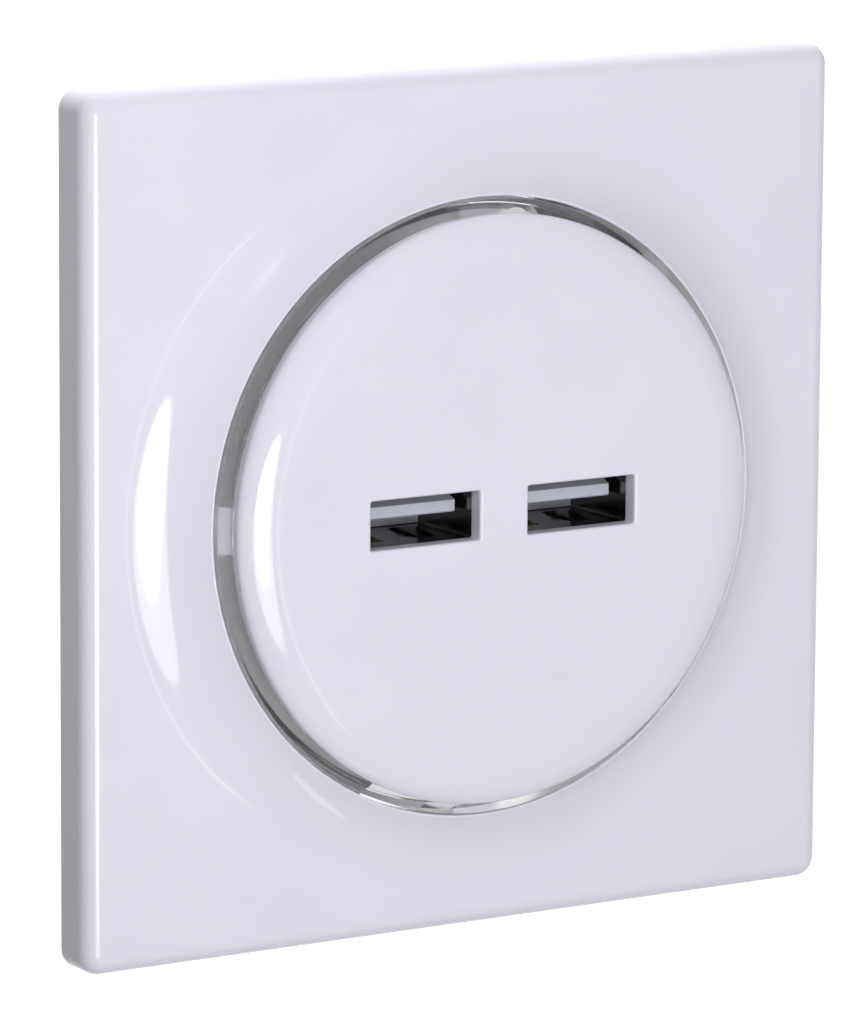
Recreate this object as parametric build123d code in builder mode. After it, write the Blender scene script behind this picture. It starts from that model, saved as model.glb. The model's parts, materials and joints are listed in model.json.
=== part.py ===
from build123d import *
import os
from math import cos, radians, sin, sqrt

# Flush-mounted wall socket with two USB-A charging ports.
# X points right, Y points into the wall, Z points up, and the wall plane is Y = 0.
# A height is a distance in front of the wall plane, so what lies in the wall box has a negative one.

os.makedirs("parts", exist_ok=True)

# Cover frame: hollow square plate with a concave flare that rises to its round hole
FRAME_SIDE = 85.0
FRAME_EDGE = 4.9
FRAME_WALL = 1.8
FRAME_ROUND = 1.75
FRAME_CORNER = 2.1
FLARE_R = 39.2
LIP_R = 30.4
LIP_HEIGHT = 8.4
LIP_ROUND = 0.15
LUG_W = 4.8
LUG_T = 2.0
LUG_ROOT = 2.6
RIB_T = 1.2
RIB_OFFSET = 20.0
RIB_GAP = 0.25

# Centre cover: flat cap with an elliptic edge, a skirt and four snap legs
COVER_R = 28.95
COVER_HEIGHT = 11.75
COVER_WALL = 1.65
COVER_ROUND_W = 5.0
COVER_ROUND_H = 1.8
COVER_RIM = 0.6
SKIRT_INSET = 0.45
SKIRT_WALL = 1.4
SKIRT_END = 4.2
SKIRT_BEVEL = 1.6
LEG_W = 7.0
LEG_T = 1.3
LEG_GAP = 0.5
LEG_BARB = 0.9
LEG_TIP = 1.7
CATCH_GAP = 0.1

# Clear ring between the cover and the lip of the frame
CLEAR_GAP = 0.2
CLEAR_PROUD = 0.2
CLEAR_DEPTH = 2.7

# Steel support ring and the screws of the wall box
SUPPORT_SIDE = 71.0
SUPPORT_T = 1.2
SUPPORT_CORNER = 3.0
SUPPORT_HOLE_R = 25.0
SUPPORT_EDGE_L = 50.0
SUPPORT_EDGE_H = 1.4
BOX_SCREW_SPACING = 60.0
BOX_SLOT_R = 2.1
BOX_SLOT_L = 7.0
BOX_ARC_ANGLE = 30.0
BOX_HEAD_ROOM = 4.0

# Rivets that hold the mechanism to the support ring
RIVET_R = 1.3
RIVET_HEAD_R = 2.2
RIVET_HEAD_T = 0.8
RIVET_SPACING = 39.3
RIVET_SINK = 0.5
RIVET_GAP = 0.05

# Plastic housing of the charger
HOUSING_W = 40.0
HOUSING_H = 38.0
HOUSING_CORNER = 8.0
HOUSING_WALL = 1.6
HOUSING_DEPTH = 27.0
HOUSING_SPLIT = 5.0
HOUSING_EDGE_ROUND = 1.2
REBATE_L = 1.4
REBATE_T = 0.75
FLANGE_R = 26.6
FLANGE_T = 1.8
EAR_R = 3.2
BOSS_R = 3.0
BOSS_Z = 9.0
BOSS_WALL_REACH = 0.5
POST_R = 1.5

# Housing screws
SCREW_R = 1.3
SCREW_HEAD_R = 2.1
SCREW_HEAD_T = 1.6
SCREW_SINK = 3.0
SCREW_TIP = 0.3
SCREW_SLOT_W = 0.6
SCREW_SLOT_T = 0.7

# Ports and USB-A receptacles
PORT_PITCH = 17.8
PORT_W = 12.3
PORT_H = 4.8
PORT_CORNER = 0.2
PORT_ROUND = 0.3
SHELL_W = 12.5
SHELL_H = 5.12
SHELL_T = 0.3
SHELL_CORNER = 0.6
SHELL_GAP = 0.1
SHELL_LEG_W = 1.8
FINGER_X = 3.0
FINGER_W = 1.8
FINGER_ROOT = 3.0
FINGER_L = 5.2
FINGER_BEND = 3.6
FINGER_RISE = 0.45
FINGER_END_RISE = 0.15
FINGER_SLIT = 0.3
TONGUE_W = 11.1
TONGUE_T = 1.84
TONGUE_LIFT = -0.15
TONGUE_RECESS = 3.8
TONGUE_BEVEL = 0.15
TONGUE_RAMP_H = 0.65
TONGUE_RAMP_L = 1.6
TONGUE_BASE = 2.2
CONTACT_X = (-3.5, -1.0, 1.0, 3.5)
CONTACT_W = 1.0
CONTACT_T = 0.25
CONTACT_PROUD = 0.15
CONTACT_BUMP = 0.3
CONTACT_RECESS = 0.9
CONTACT_BEND_L = 2.4

# Circuit boards and the pins between them
BOARD_T = 1.6
BOARD_GAP = 0.4
USB_BOARD_DEPTH = 2.0
USB_BOARD_H = 24.0
PIN_TAIL = 1.0
POST_INSET = 1.9
POWER_POST_L = 2.8
LINK_X = (-3.0, -1.0, 1.0, 3.0)
LINK_EDGE = 1.5
LINK_PIN = 0.6
LINK_TIP = 0.8
LINK_BASE_W = 8.6
LINK_BASE_H = 2.2
LINK_BASE_T = 2.5
HOLE_GAP = 0.1

# Wire terminals: captive screw, rising cage and fixed bar
BLOCK_H = 10.5
BLOCK_BEVEL = 0.8
BLOCK_FRONT_WALL = 1.2
BLOCK_TOP_WALL = 1.5
BAY_WALL = 1.2
ENTRY_R = 1.6
ENTRY_L = 3.0
ACCESS_R = 2.2
ACCESS_WALL = 1.8
CLAMP_R = 1.75
CLAMP_HEAD_R = 2.6
CLAMP_HEAD_T = 2.2
CLAMP_SHANK_L = 5.95
CLAMP_SLOT_W = 0.8
CLAMP_SLOT_T = 1.0
CLAMP_THREAD_GAP = 0.06
CLAMP_TRAVEL = 3.0
HEAD_GAP = 0.3
BAR_W = 4.2
BAR_T = 1.0
BAR_TIP_GAP = 0.05
TAIL_W = 2.2
TAIL_EDGE = 1.3
CAGE_L = 5.0
CAGE_WALL = 1.1
CAGE_NUT_T = 1.4
WIRE_GAP = 3.4
MOVE_GAP = 0.3

# Parts of the power supply
PART_EDGE = 0.3
PART_GAP = 0.2
CORE_T = 6.0
CORE_H = 10.2
CORE_LIMB = 3.2
CORE_SIDE = 1.5
CORE_YOKE = 2.0
CORE_LIFT = 2.2
BOBBIN_WALL = 0.6
BOBBIN_FLANGE_T = 0.7
BOBBIN_GAP = 1.0
RAIL_T = 1.8
WINDING_INSET = 0.3
WINDING_CORNER = 1.5
INPUT_CAP_SHARE = 0.343
INPUT_CAP_L = 12.0
OUTPUT_CAP_R = 2.6
OUTPUT_CAP_L = 11.0
CAP_BEVEL = 0.4
BRIDGE_SIZE = (4.6, 3.0, 2.4)
FUSE_R = 1.0
FUSE_L = 4.2
CHOKE_R = 1.8
CHOKE_WAIST_R = 1.3
CHOKE_L = 8.0
CHOKE_RIM = 1.2
DISC_R = 3.2
DISC_T = 2.0
DISC_LIFT = 0.4
DISC_LEAD_R = 0.3
DISC_LEAD_X = 2.0
CHIP_SIZE = (5.0, 4.0, 1.5)

# Clearance between moulded pieces that fit into each other
FIT = 0.15

# Heights that several pieces share
FLARE_RISE = LIP_HEIGHT - FRAME_EDGE
FLARE_ARC_R = ((FLARE_R - LIP_R) ** 2 + FLARE_RISE**2) / (2 * FLARE_RISE)
COVER_INSIDE = COVER_HEIGHT - COVER_WALL
RIM_HEIGHT = COVER_HEIGHT - COVER_ROUND_H
RIM_SEAT = RIM_HEIGHT - COVER_RIM
SKIRT_R = COVER_R - SKIRT_INSET
CLEAR_BOTTOM = LIP_HEIGHT - CLEAR_DEPTH
FLANGE_FRONT = SUPPORT_T + FLANGE_T
SHELL_FRONT = COVER_INSIDE - SHELL_GAP
SHELL_BACK = -USB_BOARD_DEPTH
SHELL_OUT_W = SHELL_W + 2 * SHELL_T
SHELL_OUT_H = SHELL_H + 2 * SHELL_T
TONGUE_FRONT = COVER_HEIGHT - TONGUE_RECESS
BACK_INSIDE = HOUSING_WALL - HOUSING_DEPTH
BOSS_X = HOUSING_W / 2 - HOUSING_WALL - BOSS_R + BOSS_WALL_REACH
POWER_BACK = BACK_INSIDE + POWER_POST_L
POWER_FRONT = POWER_BACK + BOARD_T

# The boards fill the housing, and between its bosses they are narrower
WIDE_BOARD_W = HOUSING_W - 2 * (HOUSING_WALL + BOARD_GAP)
WIDE_BOARD_H = 2 * (BOSS_Z - BOSS_R - BOARD_GAP)
BOARD_W = 2 * (BOSS_X - BOSS_R - BOARD_GAP)

# Upright extent of the terminal block and of the power board above it
BLOCK_W = 2 * (BOSS_X - BOSS_R - 2 * FIT)
TERMINAL_X = BLOCK_W / 4
BLOCK_BOTTOM = -HOUSING_H / 2
BLOCK_TOP = BLOCK_BOTTOM + BLOCK_H
POWER_BOTTOM = BLOCK_TOP + FIT + BAY_WALL + BOARD_GAP
POWER_TOP = HOUSING_H / 2 - HOUSING_WALL - BOARD_GAP
LINK_Z = POWER_BOTTOM + LINK_EDGE
TAIL_Z = POWER_BOTTOM + TAIL_EDGE

# Columns of the power supply, from the left edge of its board to the right one.
# The input capacitors and the transformer share the width that the choke between them leaves.
SHARED_W = BOARD_W - 2 * (PART_EDGE + PART_GAP + CHOKE_R)
INPUT_CAP_R = INPUT_CAP_SHARE * SHARED_W / 2
INPUT_CAP_X = PART_EDGE + INPUT_CAP_R - BOARD_W / 2
MIDDLE_X = INPUT_CAP_X + INPUT_CAP_R + PART_GAP + CHOKE_R
CORE_LEFT = MIDDLE_X + CHOKE_R + PART_GAP
CORE_RIGHT = BOARD_W / 2 - PART_EDGE
CORE_W = CORE_RIGHT - CORE_LEFT
CORE_X = (CORE_LEFT + CORE_RIGHT) / 2
BRIDGE_X = PART_EDGE + BRIDGE_SIZE[0] / 2 - BOARD_W / 2
OUTPUT_CAP_X = CORE_RIGHT - OUTPUT_CAP_R
OUTPUT_CAP_PITCH = 2 * OUTPUT_CAP_R + PART_GAP
FUSE_X = OUTPUT_CAP_X - OUTPUT_CAP_PITCH - OUTPUT_CAP_R - PART_GAP - FUSE_L / 2

# Rows of the power supply, from its two edges inwards
LOW_ROW = LINK_Z + LINK_BASE_H / 2 + PART_GAP
INPUT_CAP_Z = POWER_TOP - PART_EDGE - INPUT_CAP_R
INPUT_CAP_PITCH = 2 * INPUT_CAP_R + PART_GAP
BRIDGE_Z = TAIL_Z + BAR_T / 2 + PART_GAP + BRIDGE_SIZE[1] / 2
OUTPUT_CAP_Z = LOW_ROW + OUTPUT_CAP_R
FUSE_Z = LOW_ROW + FUSE_R
DISC_Z = FUSE_Z + FUSE_R + PART_GAP + DISC_R
CHOKE_Z = POWER_TOP - PART_EDGE - CHOKE_R
BOBBIN_TOP = POWER_TOP - PART_EDGE - BOBBIN_GAP
BOBBIN_BOTTOM = OUTPUT_CAP_Z + OUTPUT_CAP_R + PART_GAP + BOBBIN_GAP
BOBBIN_H = BOBBIN_TOP - BOBBIN_BOTTOM
CORE_Z = (BOBBIN_TOP + BOBBIN_BOTTOM) / 2
POWER_Z = (POWER_BOTTOM + POWER_TOP) / 2
POWER_H = POWER_TOP - POWER_BOTTOM

# The terminal's stack, from the rear face of its block towards the front
HEAD_TOP = -HOUSING_DEPTH + ACCESS_WALL + HEAD_GAP
HEAD_SEAT = HEAD_TOP + CLAMP_HEAD_T
CLAMP_TIP = HEAD_SEAT + CLAMP_SHANK_L
BAR_BACK = CLAMP_TIP + BAR_TIP_GAP
BAR_FRONT = BAR_BACK + BAR_T
CAGE_FRONT = BAR_FRONT + WIRE_GAP + CAGE_WALL
CAGE_NUT = BAR_BACK - MOVE_GAP
CAGE_BACK = CAGE_NUT - CAGE_NUT_T
CAVITY_FRONT = CAGE_FRONT + MOVE_GAP
CAVITY_BACK = CAGE_BACK - CLAMP_TRAVEL - MOVE_GAP
BLOCK_FRONT = CAVITY_FRONT + BLOCK_FRONT_WALL
CAVITY_BOTTOM = BLOCK_BOTTOM + ENTRY_L
CAVITY_TOP = BLOCK_TOP - BLOCK_TOP_WALL
CAVITY_Z = (CAVITY_BOTTOM + CAVITY_TOP) / 2
CAGE_IN_W = BAR_W + 2 * MOVE_GAP
CAGE_W = CAGE_IN_W + 2 * CAGE_WALL

SIDES = (("left", -1), ("right", 1))
POLES = (("live", -1), ("neutral", 1))
LEG_SEATS = ((0, HOUSING_W / 2), (90, HOUSING_H / 2), (180, HOUSING_W / 2), (270, HOUSING_H / 2))
BOSS_PLACES = [(x * BOSS_X, z * BOSS_Z) for x in (-1, 1) for z in (-1, 1)]
POST_PITCH_X = BOARD_W - 2 * POST_INSET
USB_POST_PITCH_Z = USB_BOARD_H - 2 * POST_INSET
POWER_POST_PITCH_Z = POWER_H - 2 * POST_INSET


def facing(height):
    """Plane parallel to the wall at a height, looking out of the wall."""
    return Plane.XZ.offset(height)


def radial(angle=0.0):
    """Plane through the centre axis whose coordinates are a radius and a height."""
    turn = radians(angle)
    return Plane(origin=(0, 0, 0), x_dir=(cos(turn), 0, sin(turn)), z_dir=(sin(turn), 0, -cos(turn)))


def upright(x):
    """Plane across X whose coordinates are a height and Z."""
    return Plane(origin=(x, 0, 0), x_dir=(0, -1, 0), z_dir=(-1, 0, 0))


def save(piece, name):
    """Label a finished piece and write it."""
    piece.label = name
    export_step(piece, f"parts/{name}.step")


# Cover frame
with BuildPart() as cover_frame:
    with BuildSketch(facing(0)):
        RectangleRounded(FRAME_SIDE, FRAME_SIDE, FRAME_CORNER)
        Circle(LIP_R, mode=Mode.SUBTRACT)
    extrude(amount=FRAME_EDGE)
    fillet(cover_frame.faces().sort_by(Axis.Y)[0].outer_wire().edges(), FRAME_ROUND)
    # The flare leaves the flat face as a tangent arc and ends at the rounded lip
    with BuildSketch(radial()) as flare:
        with BuildLine():
            Polyline((FLARE_R, FRAME_EDGE), (FLARE_R, 0), (LIP_R, 0), (LIP_R, LIP_HEIGHT))
            TangentArc((FLARE_R, FRAME_EDGE), (LIP_R, LIP_HEIGHT), tangent=(-1, 0))
        make_face()
        fillet(flare.vertices().sort_by(Axis.Y)[-1], LIP_ROUND)
    revolve(axis=Axis.Y)
    # Hollow back, one wall thick under the flat face and under the flare
    with BuildSketch(facing(0)):
        inner_side = FRAME_SIDE - 2 * FRAME_WALL
        RectangleRounded(inner_side, inner_side, FRAME_CORNER - FRAME_WALL)
    extrude(amount=FRAME_EDGE - FRAME_WALL, mode=Mode.SUBTRACT)
    with BuildSketch(radial()):
        under_r = LIP_R - FRAME_WALL / 2
        under_arc_r = FLARE_ARC_R + FRAME_WALL
        under_end = FRAME_EDGE + FLARE_ARC_R - sqrt(under_arc_r**2 - (FLARE_R - under_r) ** 2)
        with BuildLine():
            Polyline((FLARE_R, FRAME_EDGE - FRAME_WALL), (FLARE_R, 0), (under_r, 0), (under_r, under_end))
            TangentArc((FLARE_R, FRAME_EDGE - FRAME_WALL), (under_r, under_end), tangent=(-1, 0))
        make_face()
    revolve(axis=Axis.Y, mode=Mode.SUBTRACT)
    # Four lugs under the flare carry the clear ring
    with BuildSketch(facing(CLEAR_BOTTOM - LUG_T)):
        lug_tip = SKIRT_R + CLEAR_GAP + FIT
        lug_root = LIP_R + LUG_ROOT
        with PolarLocations((lug_tip + lug_root) / 2, 4):
            Rectangle(lug_root - lug_tip, LUG_W)
    extrude(amount=LUG_T)
    # Ribs on the side walls centre the frame on the support ring
    with BuildSketch(facing(0)):
        rib_tip = SUPPORT_SIDE / 2 + RIB_GAP
        rib_root = (FRAME_SIDE - FRAME_WALL) / 2
        with PolarLocations((rib_tip + rib_root) / 2, 4):
            with Locations((0, -RIB_OFFSET), (0, RIB_OFFSET)):
                Rectangle(rib_root - rib_tip, RIB_T)
    extrude(amount=FRAME_EDGE - FRAME_WALL / 2)
save(cover_frame.part, "cover_frame")

# Clear ring, with a bevelled front between the rim of the cover and the lip of the frame
with BuildPart() as clear_ring:
    with BuildSketch(radial()):
        with BuildLine():
            Polyline(
                (SKIRT_R + CLEAR_GAP, CLEAR_BOTTOM),
                (LIP_R - CLEAR_GAP, CLEAR_BOTTOM),
                (LIP_R - CLEAR_GAP, LIP_HEIGHT + CLEAR_PROUD),
                (COVER_R, RIM_SEAT),
                (SKIRT_R + CLEAR_GAP, RIM_SEAT),
                close=True,
            )
        make_face()
    revolve(axis=Axis.Y)
save(clear_ring.part, "clear_ring")

# Centre cover
with BuildPart() as centre_cover:
    with BuildSketch(radial()):
        inner_r = SKIRT_R - SKIRT_WALL
        flat_r = COVER_R - COVER_ROUND_W
        with BuildLine():
            EllipticalCenterArc((flat_r, RIM_HEIGHT), COVER_ROUND_W, COVER_ROUND_H, 0, arc_size=90)
            Polyline(
                (COVER_R, RIM_HEIGHT),
                (COVER_R, RIM_SEAT),
                (SKIRT_R, RIM_SEAT),
                (SKIRT_R, SKIRT_END),
                (inner_r, SKIRT_END),
                (inner_r, COVER_INSIDE - SKIRT_BEVEL),
                (inner_r - SKIRT_BEVEL, COVER_INSIDE),
                (0, COVER_INSIDE),
                (0, COVER_HEIGHT),
                (flat_r, COVER_HEIGHT),
            )
        make_face()
    revolve(axis=Axis.Y)
    with BuildSketch(facing(COVER_INSIDE)):
        with GridLocations(PORT_PITCH, 0, 2, 1):
            RectangleRounded(PORT_W, PORT_H, PORT_CORNER)
    extrude(amount=COVER_WALL, mode=Mode.SUBTRACT)
    front_face = centre_cover.faces().filter_by(GeomType.PLANE).sort_by(Axis.Y)[0]
    fillet([edge for wire in front_face.inner_wires() for edge in wire.edges()], PORT_ROUND)
    # Snap legs whose barbs catch behind the flange of the housing
    for angle, seat in LEG_SEATS:
        catch = SUPPORT_T - CATCH_GAP
        leg_in = seat + LEG_GAP
        leg_out = leg_in + LEG_T
        with BuildSketch(radial(angle)):
            with BuildLine():
                Polyline(
                    (leg_in, COVER_INSIDE + COVER_WALL / 2),
                    (leg_out, COVER_INSIDE + COVER_WALL / 2),
                    (leg_out, catch),
                    (leg_out + LEG_BARB, catch),
                    (leg_in + LEG_T / 2, catch - LEG_TIP),
                    (leg_in, catch - LEG_TIP),
                    close=True,
                )
            make_face()
        extrude(amount=LEG_W / 2, both=True)
save(centre_cover.part, "centre_cover")

# Steel support ring with turned-up edges
with BuildPart() as support_ring:
    with BuildSketch(facing(0)):
        RectangleRounded(SUPPORT_SIDE, SUPPORT_SIDE, SUPPORT_CORNER)
        Circle(SUPPORT_HOLE_R, mode=Mode.SUBTRACT)
        with GridLocations(BOX_SCREW_SPACING, 0, 2, 1):
            SlotOverall(BOX_SLOT_L, 2 * BOX_SLOT_R, mode=Mode.SUBTRACT)
        for middle in (90, 270):
            slot_arc = CenterArc(
                (0, 0), BOX_SCREW_SPACING / 2, middle - BOX_ARC_ANGLE / 2, BOX_ARC_ANGLE, mode=Mode.PRIVATE
            )
            SlotArc(slot_arc, 2 * BOX_SLOT_R, mode=Mode.SUBTRACT)
        with GridLocations(RIVET_SPACING, RIVET_SPACING, 2, 2):
            Circle(RIVET_R + RIVET_GAP, mode=Mode.SUBTRACT)
    extrude(amount=SUPPORT_T)
    with BuildSketch(facing(SUPPORT_T)):
        with PolarLocations((SUPPORT_SIDE - SUPPORT_T) / 2, 4):
            Rectangle(SUPPORT_T, SUPPORT_EDGE_L)
    extrude(amount=SUPPORT_EDGE_H)
    back_edges = support_ring.faces().filter_by(Axis.Y).sort_by(Axis.Y)[-1].edges()
    rivet_edges = [edge for edge in back_edges.filter_by(GeomType.CIRCLE) if edge.is_closed]
    chamfer(rivet_edges, RIVET_SINK)
save(support_ring.part, "support_ring")

# Rivets, flush with the back of the support ring
with BuildPart() as support_rivets:
    with BuildSketch(facing(FLANGE_FRONT)):
        with GridLocations(RIVET_SPACING, RIVET_SPACING, 2, 2):
            Circle(RIVET_HEAD_R)
    extrude(amount=RIVET_HEAD_T)
    with BuildSketch(facing(0)):
        with GridLocations(RIVET_SPACING, RIVET_SPACING, 2, 2):
            Circle(RIVET_R)
    extrude(amount=FLANGE_FRONT)
    with BuildSketch(facing(0)):
        with GridLocations(RIVET_SPACING, RIVET_SPACING, 2, 2):
            Circle(RIVET_R + RIVET_SINK)
    extrude(amount=RIVET_SINK, taper=45)
save(support_rivets.part, "support_rivets")

# Front housing: flange with four ears, and the front half of the box
with BuildPart() as front_housing:
    with BuildSketch(facing(SUPPORT_T)):
        Circle(FLANGE_R)
        ear_reach = RIVET_SPACING / sqrt(2)
        with PolarLocations(ear_reach / 2, 4, start_angle=45):
            Rectangle(ear_reach, 2 * EAR_R)
        with GridLocations(RIVET_SPACING, RIVET_SPACING, 2, 2):
            Circle(EAR_R)
            Circle(RIVET_R + RIVET_GAP, mode=Mode.SUBTRACT)
        with GridLocations(BOX_SCREW_SPACING, 0, 2, 1):
            Circle(BOX_HEAD_ROOM, mode=Mode.SUBTRACT)
        with GridLocations(PORT_PITCH, 0, 2, 1):
            Rectangle(SHELL_OUT_W + 2 * FIT, SHELL_OUT_H + 2 * FIT, mode=Mode.SUBTRACT)
    extrude(amount=FLANGE_T)
    for angle, seat in LEG_SEATS:
        slot_in = seat + LEG_GAP - FIT
        slot_out = seat + LEG_GAP + LEG_T + LEG_BARB + FIT
        with BuildSketch(radial(angle)):
            with Locations(((slot_in + slot_out) / 2, SUPPORT_T + FLANGE_T / 2)):
                Rectangle(slot_out - slot_in, FLANGE_T)
        extrude(amount=LEG_W / 2 + FIT, both=True, mode=Mode.SUBTRACT)
    with BuildSketch(facing(SUPPORT_T)):
        RectangleRounded(HOUSING_W, HOUSING_H, HOUSING_CORNER)
        offset(amount=-HOUSING_WALL, mode=Mode.SUBTRACT)
    extrude(amount=-(SUPPORT_T + HOUSING_SPLIT))
    with BuildSketch(facing(-HOUSING_SPLIT)):
        RectangleRounded(
            HOUSING_W - 2 * REBATE_T, HOUSING_H - 2 * REBATE_T, HOUSING_CORNER - REBATE_T
        )
    extrude(amount=REBATE_L, mode=Mode.SUBTRACT)
    with BuildSketch(facing(SUPPORT_T)):
        with Locations(*BOSS_PLACES):
            Circle(BOSS_R)
    extrude(amount=-(SUPPORT_T + HOUSING_SPLIT - REBATE_L))
    with BuildSketch(facing(-HOUSING_SPLIT)):
        with Locations(*BOSS_PLACES):
            Circle(SCREW_R + CLAMP_THREAD_GAP)
    extrude(amount=HOUSING_SPLIT, mode=Mode.SUBTRACT)
    with BuildSketch(facing(SUPPORT_T)):
        with GridLocations(POST_PITCH_X, USB_POST_PITCH_Z, 2, 2):
            Circle(POST_R)
    extrude(amount=-(SUPPORT_T + USB_BOARD_DEPTH))
save(front_housing.part, "front_housing")

# Rear housing: cup with a bay for the terminal block and a lip that enters the front half
with BuildPart() as rear_housing:
    with BuildSketch(facing(-HOUSING_DEPTH)):
        RectangleRounded(HOUSING_W, HOUSING_H, HOUSING_CORNER)
    extrude(amount=HOUSING_DEPTH - HOUSING_SPLIT)
    fillet(rear_housing.faces().sort_by(Axis.Y)[-1].edges(), HOUSING_EDGE_ROUND)
    with BuildSketch(facing(-HOUSING_SPLIT)):
        lip_inset = REBATE_T + FIT
        RectangleRounded(
            HOUSING_W - 2 * lip_inset, HOUSING_H - 2 * lip_inset, HOUSING_CORNER - lip_inset
        )
    extrude(amount=REBATE_L - FIT)
    bay_w = BLOCK_W + 2 * FIT
    bay_top = BLOCK_TOP + FIT
    bay_front = BLOCK_FRONT + FIT
    with BuildSketch(facing(BACK_INSIDE)):
        RectangleRounded(
            HOUSING_W - 2 * HOUSING_WALL, HOUSING_H - 2 * HOUSING_WALL, HOUSING_CORNER - HOUSING_WALL
        )
        with Locations((0, bay_top + BAY_WALL)):
            Rectangle(
                bay_w + 2 * BAY_WALL, HOUSING_H, align=(Align.CENTER, Align.MAX), mode=Mode.SUBTRACT
            )
    extrude(amount=HOUSING_DEPTH - HOUSING_WALL, mode=Mode.SUBTRACT)
    with BuildSketch(facing(bay_front + BAY_WALL)):
        RectangleRounded(
            HOUSING_W - 2 * HOUSING_WALL, HOUSING_H - 2 * HOUSING_WALL, HOUSING_CORNER - HOUSING_WALL
        )
    extrude(amount=-(bay_front + BAY_WALL), mode=Mode.SUBTRACT)
    # Bosses for the housing screws, and posts for the power board
    with BuildSketch(facing(-HOUSING_DEPTH + HOUSING_EDGE_ROUND)):
        with Locations(*BOSS_PLACES):
            Circle(BOSS_R)
    extrude(amount=HOUSING_DEPTH - HOUSING_EDGE_ROUND - HOUSING_SPLIT + REBATE_L - FIT)
    with BuildSketch(facing(-HOUSING_DEPTH)):
        with Locations((0, bay_top)):
            Rectangle(bay_w, HOUSING_H, align=(Align.CENTER, Align.MAX))
    extrude(amount=HOUSING_DEPTH + bay_front, mode=Mode.SUBTRACT)
    with BuildSketch(facing(-HOUSING_DEPTH)):
        with Locations(*BOSS_PLACES):
            Circle(SCREW_R + FIT)
    extrude(amount=HOUSING_DEPTH, mode=Mode.SUBTRACT)
    with BuildSketch(facing(-HOUSING_DEPTH)):
        with Locations(*BOSS_PLACES):
            Circle(SCREW_HEAD_R + FIT)
    extrude(amount=SCREW_SINK, mode=Mode.SUBTRACT)
    with BuildSketch(facing(BACK_INSIDE)):
        with Locations((0, POWER_Z)):
            with GridLocations(POST_PITCH_X, POWER_POST_PITCH_Z, 2, 2):
                Circle(POST_R)
    extrude(amount=POWER_POST_L)
    # Slots through which the terminal bars reach the power board
    with BuildSketch(facing(BAR_BACK - FIT)):
        with GridLocations(2 * TERMINAL_X, 0, 2, 1):
            with Locations((0, bay_top + BAY_WALL / 2)):
                Rectangle(BAR_W + 2 * FIT, 2 * BAY_WALL)
    extrude(amount=BAR_T + 2 * FIT, mode=Mode.SUBTRACT)
save(rear_housing.part, "rear_housing")

# Housing screws, from the rear into the bosses of the front half
with BuildPart() as housing_screws:
    screw_seat = SCREW_SINK - HOUSING_DEPTH
    with BuildSketch(facing(screw_seat - SCREW_HEAD_T)):
        with Locations(*BOSS_PLACES):
            Circle(SCREW_HEAD_R)
            Rectangle(SCREW_SLOT_W, 2 * SCREW_HEAD_R, mode=Mode.SUBTRACT)
    extrude(amount=SCREW_SLOT_T)
    with BuildSketch(facing(screw_seat - SCREW_HEAD_T + SCREW_SLOT_T)):
        with Locations(*BOSS_PLACES):
            Circle(SCREW_HEAD_R)
    extrude(amount=SCREW_HEAD_T - SCREW_SLOT_T)
    with BuildSketch(facing(screw_seat)):
        with Locations(*BOSS_PLACES):
            Circle(SCREW_R)
    extrude(amount=-screw_seat - SCREW_TIP)
save(housing_screws.part, "housing_screws")

# Board that carries the two receptacles
with BuildPart() as usb_board:
    with BuildSketch(facing(SHELL_BACK)):
        Rectangle(WIDE_BOARD_W, WIDE_BOARD_H)
        Rectangle(BOARD_W, USB_BOARD_H)
        with GridLocations(PORT_PITCH, 0, 2, 1):
            with Locations(*[(x, TONGUE_LIFT) for x in CONTACT_X]):
                Circle(CONTACT_W / 2 + HOLE_GAP, mode=Mode.SUBTRACT)
            with GridLocations(SHELL_W + SHELL_T, 0, 2, 1):
                Rectangle(SHELL_T + 2 * HOLE_GAP, SHELL_LEG_W + 2 * HOLE_GAP, mode=Mode.SUBTRACT)
        with Locations(*[(x, LINK_Z) for x in LINK_X]):
            Rectangle(LINK_PIN + 2 * HOLE_GAP, LINK_PIN + 2 * HOLE_GAP, mode=Mode.SUBTRACT)
    extrude(amount=-BOARD_T)
save(usb_board.part, "usb_board")

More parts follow.
